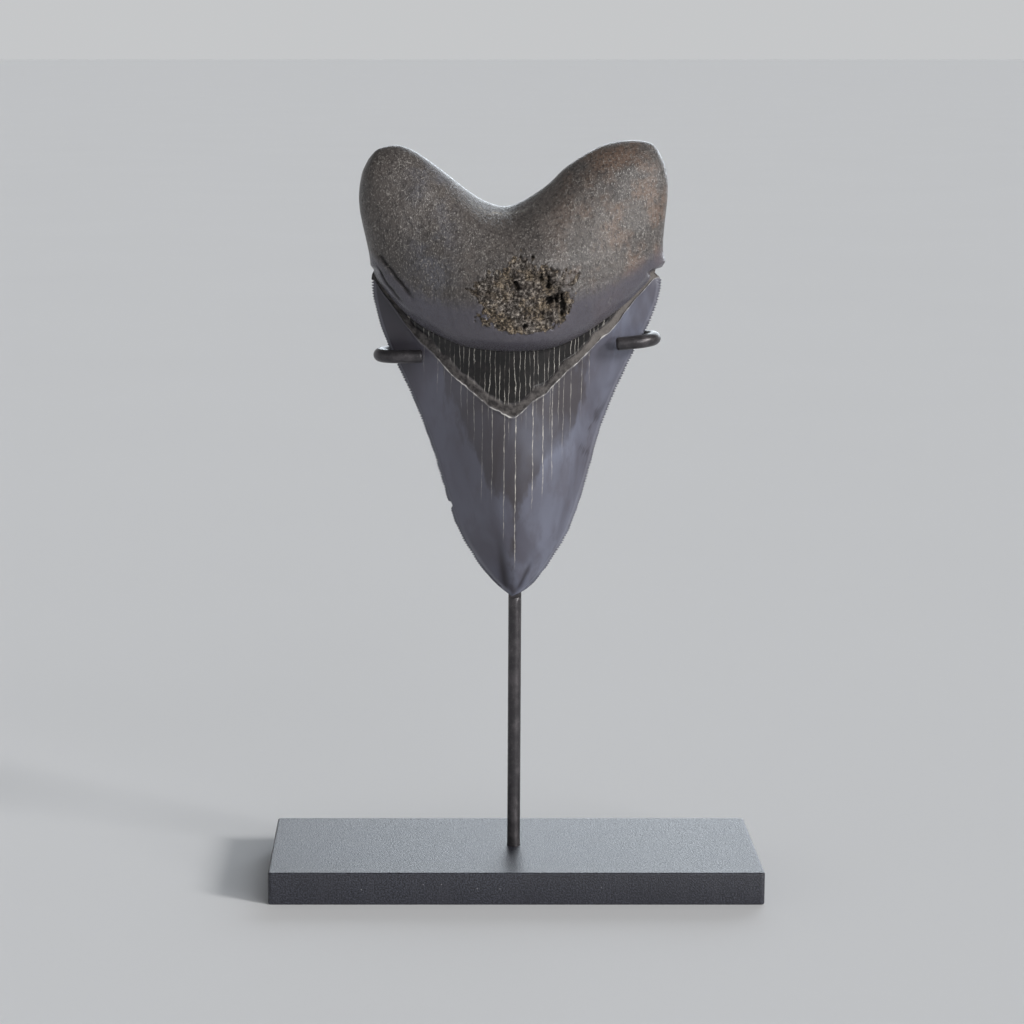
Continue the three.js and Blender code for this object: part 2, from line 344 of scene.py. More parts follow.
def detail_front(x, z, u, rise, height):
    """Adds the front's relief to its height, and gives the masks that colour it."""
    above_border = z - wavy_border(np.stack([x, height_of(ENAMEL_BORDER, x)], -1))[..., 1]
    lean = 0.76  # from height above the slanting border to distance from it
    past_border = above_border * lean
    above_root = z - height_of(ROOT_EDGE, x)
    in_root = fade(above_root, -0.15, 0.5)
    band_width = 2.5 + 0.5 * noise(x, z, 3, 41)
    in_rim = fade(past_border, -0.05, 0.15) * fade(past_border, band_width + 0.5, band_width - 0.3)
    in_rim = in_rim * (1 - in_root)
    in_band = fade(past_border, band_width - 0.4, band_width + 0.4) * (1 - in_root)
    in_crown = fade(past_border, 0.05, -0.1)

    # the enamel ends in a small raised lip, and the band above it lies lower
    height = height + 0.28 * hump(past_border, -0.15, 0.35) * fade(np.abs(x), 43, 38)
    height = height - 0.35 * in_rim - 0.95 * in_band

    # a pale line along the enamel's raised lip: a painted highlight for the light that this upward edge
    # catches
    lip_width = 0.2 + 0.1 * noise(x, z, 1.5, 72)
    lip = np.exp(-(((past_border + 0.05 + 0.12 * noise(x, z, 0.8, 73)) / lip_width) ** 2))
    lip = lip * (0.65 + 0.35 * noise(x, z, 1.1, 71)) * (0.35 + 0.65 * fade(x, -30, -22))

    # crown: a barely uneven polish, worn flats beside the tip, dark flakes near the right edge
    height = height + in_crown * (0.09 * noise(x, z, 7, 21) + 0.05 * noise(x, z, 2.6, 22))
    left_flat = hump(x, -0.16 * z - 1.5, 1.3) * fade(z, 26, 8) * fade(z, 1, 4)
    right_flat = hump(x, 0.42 * z + 0.6, 0.9) * fade(z, 14, 8) * fade(z, 1, 4)
    height = height - 0.35 * (left_flat + right_flat)
    from_right = np.interp(z, right_curve[:, 1], right_curve[:, 0]) - x
    from_left = x - np.interp(z, np.maximum.accumulate(left_curve[:, 1]), left_curve[:, 0])
    worn = 0.8 * fade(from_left, 2.6, 0.8) * fade(z, 26, 12)
    worn = np.maximum(worn, 0.45 * fade(np.minimum(from_left, from_right), 1.3, 0.2))
    worn = worn * fade(z, 0.5, 3) * in_crown
    flakes = fade(rough(x, z, 2.6, 24), 0.25, 0.75) * hump(from_right, 3.2, 2.2) * hump(z, 50, 13)
    flats_flakes_and_shade = np.maximum.reduce([0.9 * left_flat, 0.8 * right_flat, 0.9 * flakes])
    # the crown's upper left is darkened as well: painted shade
    flats_flakes_and_shade = np.maximum(flats_flakes_and_shade, 0.75 * fade(x, -25, -33) * fade(z, 58, 74)) * in_crown

    # root: uneven, grained, cracked
    grain = 0.3 * noise(x, z, 6.5, 51) + 0.08 * rough(x, z, 2, 52) + 0.04 * noise(x, z, 0.5, 57)
    smoother = fade(rise, 0.04, 0.3)
    height = height + in_root * grain * (0.35 + 0.65 * smoother) * fade(rise, 1, 0.93)
    dark = np.zeros_like(x)
    root_pale = np.zeros_like(x)
    for index, line in enumerate(ROOT_CRACKS):
        bent_x = x + 0.5 * noise(x, z, 1.8, 80 + index)
        bent_z = z + 0.5 * noise(x, z, 1.8, 90 + index)
        gap, place = distance_to(bent_x, bent_z, line)
        kept = fade(np.abs(place - 0.5), 0.5, 0.3) * (0.6 + 0.4 * noise(x, z, 1.2, 95 + index))
        height = height - 0.35 * kept * np.exp(-((gap / 0.2) ** 2))
        dark = np.maximum(dark, 0.55 * kept * np.exp(-((gap / 0.13) ** 2)))
        beside = np.exp(-(((gap - 0.28) / 0.12) ** 2)) * fade(noise(x, z, 1.5, 75 + index), -0.2, 0.5)
        root_pale = np.maximum(root_pale, 0.4 * kept * beside)
    # the pale line along the notch's rim: painted highlight
    gap, place = distance_to(x, z + 0.3 * noise(x, z, 1.4, 78), NOTCH_HIGHLIGHT)
    kept = fade(np.abs(place - 0.5), 0.5, 0.3) * (0.45 + 0.55 * noise(x, z, 1, 79))
    root_pale = np.maximum(root_pale, 0.6 * kept * np.exp(-((gap / 0.3) ** 2)))
    for index, line in enumerate(ROOT_GROOVES):
        gap, place = distance_to(x + 0.4 * noise(x, z, 2.5, 85 + index), z, line)
        depth = np.exp(-((gap / (0.5 - 0.15 * index)) ** 2)) * fade(np.abs(place - 0.5), 0.5, 0.25)
        height = height - 0.9 * depth
        dark = np.maximum(dark, depth)

    # the broken patch: sunk, spongy and full of holes
    out = from_break(x, z)
    broken = fade(out, 1.06, 0.9) * in_root
    sponge = rough(x, z, 2.4, 61, 5)
    crumbs = np.abs(noise(x, z, 1.1, 67)) + 0.7 * np.abs(noise(x, z, 0.55, 68))
    height = height - 1.2 * fade(out, 1.05, 0.5) * in_root
    height = height + broken * (-0.6 + 0.6 * sponge + 0.9 * crumbs)
    holes = np.zeros_like(x)
    for index, (hx, hz, half_x, half_z, depth) in enumerate(BREAK_HOLES):
        shift = 0.6 * rough(x, z, 2, 140 + index) + 0.4 * rough(x, z, 0.8, 150 + index)
        away = np.hypot((x - hx) / half_x, (z - hz) / half_z) + shift
        hole = fade(away, 1.15, 0.35)
        height = height - depth * hole * broken
        holes = np.maximum(holes, hole)
    holes = np.maximum(holes, 0.8 * fade(sponge, -0.7, -1.3)) * broken

    masks = {
        "root": in_root, "rim": in_rim, "band": in_band, "broken": broken, "holes": holes,
        "pale": root_pale, "lip": lip, "dark": dark, "flats_flakes_and_shade": flats_flakes_and_shade, "worn": worn,
        "front": np.ones_like(x),
        "under": in_root * fade(rise - crest_rise(u), 0.06, -0.08),
    }
    return height, masks


def detail_back(x, z, depth, mask_names):
    """Adds the back's relief to its depth, and gives its masks: most are zero there."""
    above_border = z - height_of(BACK_BORDER, x) - 0.8 * noise(x, 0 * x, 6, 15)
    in_root = fade(above_border, -0.2, 0.5)
    depth = depth + 0.12 * noise(x, z, 8, 23) * (1 - in_root) - 0.3 * in_root
    rise = np.clip((z - 88) / 40, 0, 1)
    grain = 0.3 * noise(x, z, 6.5, 53) + 0.14 * rough(x, z, 2, 54)
    depth = depth + in_root * grain * fade(rise, 1.0, 0.8)
    masks = dict.fromkeys(mask_names, np.zeros_like(x))
    masks["root"] = in_root
    # a pale line along the back's enamel border: a painted highlight, like the one on the front's lip
    masks["lip"] = 0.6 * np.exp(-((above_border / 0.35) ** 2))
    return depth, masks


SERRATION_PITCH = 0.85


def edge_wear(curve, length, side):
    """How far the cutting edge is set in at a length along it: the serrations and the chips."""
    tooth = 0.5 + 0.5 * np.cos(2 * np.pi * length / SERRATION_PITCH)
    kept = 0.55 + 0.45 * fade(noise(length, 0 * length, 5, 3 + side), -0.5, 0.5)
    inwards = 0.7 * tooth * kept * fade(length, 6, 20)
    inwards = inwards + 0.16 * (1 + noise(length, 0 * length, 2.2, 7 + side)) * fade(length, 2, 12)
    z = np.interp(length, lengths_along(curve), curve[:, 1])
    if side < 0:
        inwards = inwards + 0.9 * fade(np.abs(z - 29), 1.6, 0.4)
    return inwards


# ------------------------------------------------------------------ meshes


def new_object(name, verts, faces):
    """A smooth-shaded object from points in millimetres."""
    mesh = bpy.data.meshes.new(name)
    mesh.from_pydata([tuple(v) for v in np.asarray(verts) * MM], [], faces)
    mesh.validate()
    mesh.shade_smooth()
    piece = bpy.data.objects.new(name, mesh)
    bpy.context.scene.collection.objects.link(piece)
    return piece


COLUMNS = 256  # across the front of the tooth
BACK_STEP = 4  # columns of the front to one of the back
FRINGE_STEPS = 8  # fine steps from row to row along a cutting edge
STRIP_WIDTH = 1.1
# The outermost columns, with the outline that each follows and its side
EDGES = ((0, left_curve, -1), (COLUMNS, right_curve, 1))


def row_places():
    """Where columns and rows lie, from 0 to 1, closer together where there is more to show."""
    across = spread(
        COLUMNS,
        lambda s: 1 + 1.2 * hump(s, 0.52, 0.24) + 1.5 * hump(s, 0, 0.03) + 1.5 * hump(s, 1, 0.03),
    )
    crown_rows = spread(84, lambda s: 1 + 5 * hump(s, 1, 0.014) + 1.0 * hump(s, 0, 0.05))
    band_rows = spread(32, lambda s: 1 + 1.5 * hump(s, 0.06, 0.08))
    root_rows = spread(
        144,
        lambda s: 1 + 0.9 * hump(s, 0.38, 0.3) + 0.8 * hump(s, 0, 0.04) + 2.2 * hump(s, 1, 0.06),
    )
    return across, crown_rows, band_rows, root_rows


def crown_length(curve, share):
    """Length along an edge from the tip, at a share of the way to the enamel's border."""
    return share * share_at_height(curve, SIDE_BORDER_HEIGHT) * lengths_along(curve)[-1]


def wear_edges(x, z, crown_rows):
    """Sets the edges in: their serrations, the chip and the nick."""
    crown_count = len(crown_rows)
    # a strip along each cutting edge is left to its outermost points
    width = x[:, -1] - x[:, 0]
    in_crown = np.arange(len(x)) < crown_count
    strip = (np.where(in_crown, STRIP_WIDTH, 0) * fade(width, 3, 12))[:, None]
    from_left, from_right = x - x[:, :1], x[:, -1:] - x
    inset = strip * (np.exp(-from_left / 1.8) - np.exp(-from_right / 1.8))
    x[:, 1:-1] += inset[:, 1:-1]
    for column, curve, side in EDGES:
        x[:crown_count, column] -= side * edge_wear(curve, crown_length(curve, crown_rows), side)
    x[0] = 0
    x += 1.0 * np.interp(z, [97, 99, 100.4, 101.8], [0, 0.3, 1, 0]) * fade(x, -39, -42.5)
    nick_heights = [95.5, 98.3, 99.6, 100.7, 101.4, 103, 106]
    nick = np.interp(z, nick_heights, [0, 0.9, 2.4, 2.2, 0.2, -0.7, 0])
    x -= nick * fade(x, 38.5, 42.5)


def add_triangle(faces, a, b, c, flip):
    if len({a, b, c}) == 3:
        faces.append([int(a), int(c), int(b)] if flip else [int(a), int(b), int(c)])


def add_quads(faces, sheet, rows, cols, flip):
    a = sheet[rows[0]:rows[1], cols[0]:cols[1]]
    b = sheet[rows[0]:rows[1], cols[0] + 1:cols[1] + 1]
    c = sheet[rows[0] + 1:rows[1] + 1, cols[0] + 1:cols[1] + 1]
    d = sheet[rows[0] + 1:rows[1] + 1, cols[0]:cols[1]]
    order = (a, d, c, b) if flip else (a, b, c, d)
    faces.extend(np.stack(order, -1).reshape(-1, 4).tolist())


def add_fringe(faces, sheet, fringe, crown_count, flip):
    """Fans from the fine points on both cutting edges to the next column."""
    wide = sheet.shape[1] - 1
    half_way = FRINGE_STEPS // 2
    for row in range(crown_count - 1):
        for outer, inside, column in ((0, 1, 0), (wide, wide - 1, COLUMNS)):
            rim = [sheet[row, outer], *fringe[column][row], sheet[row + 1, outer]]
            near, far = sheet[row, inside], sheet[row + 1, inside]
            turned = flip != (column != 0)
            for k in range(FRINGE_STEPS):
                add_triangle(faces, rim[k], near if k < half_way else far, rim[k + 1], turned)
            add_triangle(faces, rim[half_way], near, far, turned)


def sew_sheets(front, back, fringe, crown_count):
    """The faces of both sheets, and of the seam along the root's top."""
    faces = []
    last = len(front) - 1
    for sheet, top_row, flip in ((front, last, False), (back, last - 1, True)):
        wide = sheet.shape[1] - 1
        for column in range(1, wide - 1):
            add_triangle(faces, sheet[0, 0], sheet[1, column + 1], sheet[1, column], flip)
        add_quads(faces, sheet, (1, crown_count - 1), (1, wide - 1), flip)
        add_quads(faces, sheet, (crown_count - 1, top_row), (0, wide), flip)
        add_fringe(faces, sheet, fringe, crown_count, flip)
    half_way = BACK_STEP // 2
    for column in range(back.shape[1] - 1):
        low, next_low = back[last - 1, column], back[last - 1, column + 1]
        rim = front[last, column * BACK_STEP:(column + 1) * BACK_STEP + 1]
        for k in range(BACK_STEP):
            add_triangle(faces, rim[k], low if k < half_way else next_low, rim[k + 1], True)
        add_triangle(faces, low, next_low, rim[half_way], True)
    return faces


def make_tooth():
    across, crown_rows, band_rows, root_rows = row_places()
    grid = lay_rows(across, crown_rows, band_rows, root_rows)
    x, z = grid[..., 0], grid[..., 1]
    crown_count = len(crown_rows)
    last = len(grid) - 1

    # the rise through the root of each row, negative in the crown and the band
    below_root = crown_count + len(band_rows) - 1
    row_rise = np.concatenate([np.full(below_root, -1.0), root_rows[1:]])
    row_rise[below_root - 1] = 0
    u = np.broadcast_to(2 * across - 1, x.shape)
    rise = np.broadcast_to(row_rise[:, None], x.shape)
    share = np.sqrt(1 - np.clip(1 - rise / 0.09, 0, 1) ** 2)
    height = crown_height(x, z) * (1 - share) + root_height(u, rise) * share
    height, front_masks = detail_front(x, z, u, rise, height * rim_closing(rise))

    back_share = back_root_share(z)
    middle, half = widths_at(z)
    across_crown = np.clip((x - middle) / half, -1, 1)
    round_crown = (1 - across_crown**2) * (1 - back_share)
    round_root = np.sqrt(np.clip(1 - u**4, 0, 1)) * back_share
    depth = back_swell(z) * (round_crown + round_root)
    depth, back_masks = detail_back(x, z, depth, front_masks)
    depth = depth * rim_closing(rise)

    # both sheets meet along the outline
    meets = np.ones_like(x)
    meets[:, 0] = meets[:, -1] = meets[0] = meets[-1] = 0
    plane = -back_swell(z)
    front_y = plane - height * meets
    back_y = plane + depth * meets
    wear_edges(x, z, crown_rows)

    verts, masks = [], {name: [] for name in front_masks}

    def add(px, py, pz, from_masks, where=...):
        first = sum(len(v) for v in verts)
        verts.append(np.stack([px, py, pz], -1).reshape(-1, 3))
        for name in masks:
            masks[name].append(from_masks[name][where].ravel())
        return first + np.arange(px.size).reshape(px.shape)

    front = add(x, front_y, z, front_masks)
    inner = (slice(1, last), slice(BACK_STEP, COLUMNS, BACK_STEP))
    back = np.empty((last + 1, COLUMNS // BACK_STEP + 1), int)
    back[:, 0], back[:, -1] = front[:, 0], front[:, -1]
    back[0], back[last] = front[0, ::BACK_STEP], front[last, ::BACK_STEP]
    back[1:last, 1:-1] = add(x[inner], back_y[inner], z[inner], back_masks, inner)
    front[0] = back[0] = front[0, 0]

    # fine points between the rows along both cutting edges
    fringe = {}
    steps = np.arange(1, FRINGE_STEPS) / FRINGE_STEPS
    shares = crown_rows[:-1, None] + np.diff(crown_rows)[:, None] * steps
    for column, curve, side in EDGES:
        length = crown_length(curve, shares)
        spots = point_at(curve, length / lengths_along(curve)[-1])
        spots[..., 0] -= side * edge_wear(curve, length, side)
        edge_masks = {
            name: np.broadcast_to(front_masks[name][: crown_count - 1, column, None], shares.shape)
            for name in masks
        }
        fringe[column] = add(spots[..., 0], -back_swell(spots[..., 1]), spots[..., 1], edge_masks)

    faces = sew_sheets(front, back, fringe, crown_count)
    points = np.vstack(verts)
    low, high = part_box("tooth")
    place = np.array([low.x, high.y, low.z]) / MM
    shift = place - np.array([points[:, 0].min(), 0.0, points[:, 2].min()])
    used = np.unique(np.concatenate([np.ravel(f) for f in faces]))
    renumber = np.full(len(points), -1)
    renumber[used] = np.arange(len(used))
    kept_faces = [[int(renumber[i]) for i in f] for f in faces]
    piece = new_object("fossil_tooth", points[used] + shift, kept_faces)
    for name in masks:
        layer = piece.data.attributes.new(name, "FLOAT", "POINT")
        layer.data.foreach_set("value", np.concatenate(masks[name])[used].astype(np.float32))
    lay_charts(piece, shift)
    return piece


def lay_charts(piece, shift):
    """A flat chart of the front beside one of the back, for baking."""
    mesh = piece.data
    corner = np.empty(len(mesh.loops), np.int32)
    mesh.loops.foreach_get("vertex_index", corner)
    co = np.empty(len(mesh.vertices) * 3, np.float32)
    mesh.vertices.foreach_get("co", co)
    co = co.reshape(-1, 3) / MM - shift
    normal = np.empty(len(mesh.polygons) * 3, np.float32)
    mesh.polygons.foreach_get("normal", normal)
    count = np.empty(len(mesh.polygons), np.int32)
    mesh.polygons.foreach_get("loop_total", count)
    behind = np.repeat(normal.reshape(-1, 3)[:, 1] > 0, count)
    width = 2 * 96.0
    at = co[corner]
    uv = np.stack([(at[:, 0] + 48) / width + 0.5 * behind, at[:, 2] / width + 0.1], -1)
    layer = mesh.uv_layers.new(name="OFBake")
    layer.uv.foreach_set("vector", uv.astype(np.float32).ravel())


# ------------------------------------------------------------------ materials


class Nodes:
    """Short ways to add shader nodes to one material or world."""

    def __init__(self, owner, coordinates="Object"):
        owner.use_nodes = True
        self.owner = owner
        self.tree = owner.node_tree
        self.place = self.add("ShaderNodeTexCoord").outputs[coordinates]

    def add(self, kind, **values):
        node = self.tree.nodes.new(kind)
        for name, value in values.items():
            setattr(node, name, value)
        return node

    def feed(self, socket, value):
        if isinstance(value, bpy.types.NodeSocket):
            self.tree.links.new(value, socket)
        else:
            socket.default_value = value

    def math(self, operation, a, b=0.0, clamp=False):
        node = self.add("ShaderNodeMath", operation=operation, use_clamp=clamp)
        self.feed(node.inputs[0], a)
        self.feed(node.inputs[1], b)
        return node.outputs[0]

    def mask(self, name):
        return self.add("ShaderNodeAttribute", attribute_name=name).outputs["Fac"]

    def stretched(self, scale, turn=(0, 0, 0)):
        node = self.add("ShaderNodeMapping")
        self.feed(node.inputs["Vector"], self.place)
        node.inputs["Scale"].default_value = scale
        node.inputs["Rotation"].default_value = turn
        return node.outputs["Vector"]

    def noise(self, size_mm, detail=4.0, roughness=0.55, where=None, warp=0.0):
        node = self.add("ShaderNodeTexNoise")
        self.feed(node.inputs["Vector"], where or self.place)
        node.inputs["Scale"].default_value = 1000.0 / size_mm
        node.inputs["Detail"].default_value = detail
        node.inputs["Roughness"].default_value = roughness
        node.inputs["Distortion"].default_value = warp
        return node.outputs["Fac"]

    def cells(self, size_mm, feature="F1", where=None):
        node = self.add("ShaderNodeTexVoronoi", feature=feature)
        self.feed(node.inputs["Vector"], where or self.place)
        node.inputs["Scale"].default_value = 1000.0 / size_mm
        return node.outputs["Distance"]

    def between(self, value, low, high, out_low=0.0, out_high=1.0):
        node = self.add("ShaderNodeMapRange", interpolation_type="SMOOTHSTEP")
        self.feed(node.inputs["Value"], value)
        self.feed(node.inputs["From Min"], low)
        self.feed(node.inputs["From Max"], high)
        self.feed(node.inputs["To Min"], out_low)
        self.feed(node.inputs["To Max"], out_high)
        return node.outputs["Result"]

    def blend(self, share, a, b):
        """Mixes two colours or two numbers."""
        colour = any(isinstance(v, (tuple, list)) or getattr(v, "type", "") == "RGBA" for v in (a, b))
        node = self.add("ShaderNodeMix", data_type="RGBA" if colour else "FLOAT")
        first = 6 if colour else 2
        self.feed(node.inputs[0], share)
        for socket, value in ((node.inputs[first], a), (node.inputs[first + 1], b)):
            if isinstance(value, (tuple, list)):
                value = (*value, 1.0)
            self.feed(socket, value)
        return node.outputs[2 if colour else 0]

    def bump(self, height, depth_mm, under=None):
        node = self.add("ShaderNodeBump")
        node.inputs["Distance"].default_value = depth_mm * MM
        self.feed(node.inputs["Height"], height)
        if under:
            self.feed(node.inputs["Normal"], under)
        return node.outputs["Normal"]

    def finish(self, colour, roughness, normal=None, **fixed):
        shader = self.tree.nodes["Principled BSDF"]
        self.feed(shader.inputs["Base Color"], colour)
        self.feed(shader.inputs["Roughness"], roughness)
        if normal:
            self.feed(shader.inputs["Normal"], normal)
        for name, value in fixed.items():
            shader.inputs[name.replace("_", " ")].default_value = value
        return self.owner


def blade_cracks(m, across, above_tip):
    """Pale hairlines that run down the front of the blade, each to its own height."""
    together = m.noise(14, 4, 0.6, m.stretched((0.12, 0, 1)))
    apart = m.noise(2, 4, 0.7, m.stretched((1.4, 0, 0.2)))
    wander = m.math("ADD", m.math("MULTIPLY", together, 1.4), m.math("MULTIPLY", apart, 0.9))
    bent = m.math("ADD", across, m.math("MULTIPLY", m.math("SUBTRACT", wander, 1.15), MM))
    cracks = 0.0
    for at, lowest in BLADE_CRACKS:
        strength = STRONG_CRACKS.get(at, 0.5)
        gap = m.math("ABSOLUTE", m.math("SUBTRACT", bent, at * MM))
        width = (0.09 + 0.1 * strength) * MM
        line = m.between(gap, 0.0, width, strength, 0.0)
        reach = m.between(above_tip, lowest * MM, (lowest + 9) * MM)
        cracks = m.math("MAXIMUM", m.math("MULTIPLY", line, reach), cracks)
    specks = m.between(m.noise(0.8, 4, 0.75, m.stretched((1, 1, 0.4))), 0.38, 0.62, 0.2, 1.0)
    return m.math("MULTIPLY", cracks, specks)


def upright_cracks(m, across, spacing_mm, width_mm):
    """A field of wavy, nearly vertical hairlines, unevenly spaced and often interrupted."""
    uneven = m.noise(3 * spacing_mm, 2, 0.5, m.stretched((1, 0, 0.15)))
    wavy = m.noise(1.6, 3, 0.65, m.stretched((1, 0, 0.6)))
    bend = m.math("ADD", m.math("MULTIPLY", uneven, 2.4 * spacing_mm), m.math("MULTIPLY", wavy, 0.9))
    bent = m.math("ADD", m.math("DIVIDE", across, spacing_mm * MM), m.math("DIVIDE", bend, spacing_mm))
    gap = m.math("ABSOLUTE", m.math("SUBTRACT", m.math("FRACT", bent), 0.5))
    lines = m.between(gap, 0.0, width_mm / spacing_mm, 1.0, 0.0)
    kept = m.between(m.noise(2.2, 3, 0.6, m.stretched((1, 1, 0.35))), 0.38, 0.6, 0.05, 1.0)
    return m.math("MULTIPLY", lines, kept)


def crackle(m):
    """Short pale hairlines that run every way over the root."""
    warp = m.add("ShaderNodeVectorMath", operation="MULTIPLY_ADD")
    wave = m.add("ShaderNodeTexNoise")
    m.feed(wave.inputs["Vector"], m.place)
    wave.inputs["Scale"].default_value = 350
    wave.inputs["Detail"].default_value = 4
    m.feed(warp.inputs[0], wave.outputs["Color"])
    warp.inputs[1].default_value = (0.004, 0.004, 0.004)
    m.feed(warp.inputs[2], m.place)
    gap = m.cells(5.5, "DISTANCE_TO_EDGE", warp.outputs[0])
    lines = m.between(gap, 0.008, 0.024, 1.0, 0.0)
    return m.math("MULTIPLY", lines, m.between(m.noise(4, 4, 0.65), 0.52, 0.62, 0.0, 0.22))


def fossil_material():
    m = Nodes(bpy.data.materials.new("fossil"))
    place = m.add("ShaderNodeSeparateXYZ")
    m.feed(place.inputs[0], m.place)
    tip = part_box("tooth")[0]
    above_tip = m.math("SUBTRACT", place.outputs["Z"], tip.z)
    # X from the tip: the tooth's left side reaches this far out
    across = m.math("SUBTRACT", place.outputs["X"], tip.x - left_curve[:, 0].min() * MM)
    root, band, rim = m.mask("root"), m.mask("band"), m.mask("rim")
    broken, holes = m.mask("broken"), m.mask("holes")
    lip, dark, front, under = m.mask("lip"), m.mask("dark"), m.mask("front"), m.mask("under")
    in_crown = m.math("SUBTRACT", 1.0, m.math("MAXIMUM", root, m.math("MAXIMUM", band, rim)), clamp=True)
    on_blade = m.math("MULTIPLY", in_crown, blade_cracks(m, across, above_tip))
    in_band = m.math("MULTIPLY", band, m.math("MULTIPLY", upright_cracks(m, across, 1.5, 0.12), 0.8))
    hairlines = m.math("MULTIPLY", m.math("ADD", on_blade, in_band), front)
    behind = m.math("MULTIPLY", in_crown, m.math("SUBTRACT", 1.0, front))
    behind = m.math("MULTIPLY", behind, m.between(above_tip, 0.045, 0.085, 0.0, 0.4))
    behind = m.math("MULTIPLY", behind, upright_cracks(m, across, 5, 0.16))
    crumbling = m.between(m.noise(0.8, 4, 0.75), 0.42, 0.58, 0.1, 1.0)
    on_root = m.math("MULTIPLY", m.mask("pale"), crumbling)
    upper_root = m.math("MULTIPLY", root, m.math("SUBTRACT", 1.0, under))
    on_root = m.math("MAXIMUM", on_root, m.math("MULTIPLY", upper_root, crackle(m)))
    pale = m.math("MAXIMUM", on_root, m.math("ADD", hairlines, behind))

    # crown: slate-blue enamel in soft clouds, smoky brown below the middle of the border
    streaks = m.stretched((1, 1, 0.35))
    cloud = m.noise(14, 3, 0.5, streaks, 0.6)
    mottle = m.noise(3.5, 5, 0.62, streaks)
    crown = m.blend(m.between(cloud, 0.36, 0.66), (0.08, 0.078, 0.1), (0.142, 0.15, 0.195))
    # the left side of the crown is painted darker: painted shade for light that falls from the right
    crown = m.blend(m.between(across, 0.004, -0.01, 0.0, 0.6), crown, (0.076, 0.071, 0.09))
    crown = m.blend(m.between(mottle, 0.46, 0.7, 0.0, 0.5), crown, (0.08, 0.074, 0.092))
    side = m.math("ABSOLUTE", across)
    # the smoky patch narrows from the border down to a point
    half_width = m.between(above_tip, 0.02, 0.066, 0.0, 0.021)
    uneven = m.math("MULTIPLY", m.math("SUBTRACT", m.noise(6, 4, 0.6, streaks), 0.5), 0.014)
    inside = m.math("SUBTRACT", m.math("ADD", half_width, uneven), side)
    smoke = m.math("MULTIPLY", m.between(inside, -0.001, 0.002), m.between(cloud, 0.7, 0.4, 0.6, 1.0))
    crown = m.blend(m.math("MULTIPLY", smoke, 0.85), crown, (0.045, 0.038, 0.04))
    # darkened flats beside the tip and flakes near the right edge, and painted shade on the crown's upper
    # left
    crown = m.blend(m.mask("flats_flakes_and_shade"), crown, (0.03, 0.026, 0.032))
    crown = m.blend(m.mask("worn"), crown, (0.2, 0.2, 0.235))

    # root: grainy grey-brown with pale flecks, redder in the right lobe; a lighter bluish patch in the left
    # lobe is a painted reflection, and the left side is darkened with painted shade
    fibres = m.stretched((1, 1, 0.6))
    grain = m.noise(1.0, 5, 0.72, fibres)
    speck = m.noise(0.42, 3, 0.65, fibres)
    patch = m.noise(18, 3, 0.55, None, 0.4)
    root_colour = m.blend(m.between(patch, 0.4, 0.65), (0.07, 0.061, 0.057), (0.1, 0.085, 0.077))
    red = m.math("MULTIPLY", m.between(across, 0.004, 0.03), m.between(m.noise(9, 3), 0.42, 0.62))
    root_colour = m.blend(m.math("MULTIPLY", red, 0.75), root_colour, (0.135, 0.085, 0.06))
    # a lighter bluish patch in the left lobe: painted reflection of light on a plane of the lobe
    blue_sheen = m.math("MULTIPLY", m.between(across, -0.014, -0.024), m.between(across, -0.036, -0.026))
    blue_sheen = m.math("MULTIPLY", blue_sheen, m.between(m.noise(7, 3), 0.36, 0.6))
    root_colour = m.blend(m.math("MULTIPLY", blue_sheen, 0.8), root_colour, (0.105, 0.105, 0.125))
    # the left side of the root is painted darker: painted shade for light that falls from the right
    root_colour = m.blend(m.between(across, 0.0, -0.03, 0.0, 0.35), root_colour, (0.03, 0.026, 0.025))
    # the underside is smoother and bluer
    root_colour = m.blend(m.math("MULTIPLY", under, 0.8), root_colour, (0.078, 0.074, 0.094))
    grained = m.math("SUBTRACT", 1.0, m.math("MULTIPLY", under, 0.75))
    darker = m.math("MULTIPLY", m.between(grain, 0.46, 0.64, 0.0, 0.8), grained)
    paler = m.math("MULTIPLY", m.between(speck, 0.52, 0.68, 0.0, 0.7), grained)
    root_colour = m.blend(darker, root_colour, (0.024, 0.02, 0.019))
    root_colour = m.blend(paler, root_colour, (0.28, 0.26, 0.24))

    # the band is near black: partly its own dark colour, partly painted shade under the root's overhanging
    # lip
    band_colour_and_shade = m.blend(m.between(m.noise(2.5, 4), 0.45, 0.7), (0.003, 0.002, 0.002), (0.012, 0.009, 0.009))
    rim_colour = m.blend(m.between(m.noise(1.6, 4), 0.35, 0.65), (0.03, 0.026, 0.026), (0.1, 0.09, 0.086))
    rim_colour = m.blend(m.between(across, 0.012, 0.026, 0.0, 0.6), rim_colour, (0.2, 0.18, 0.165))

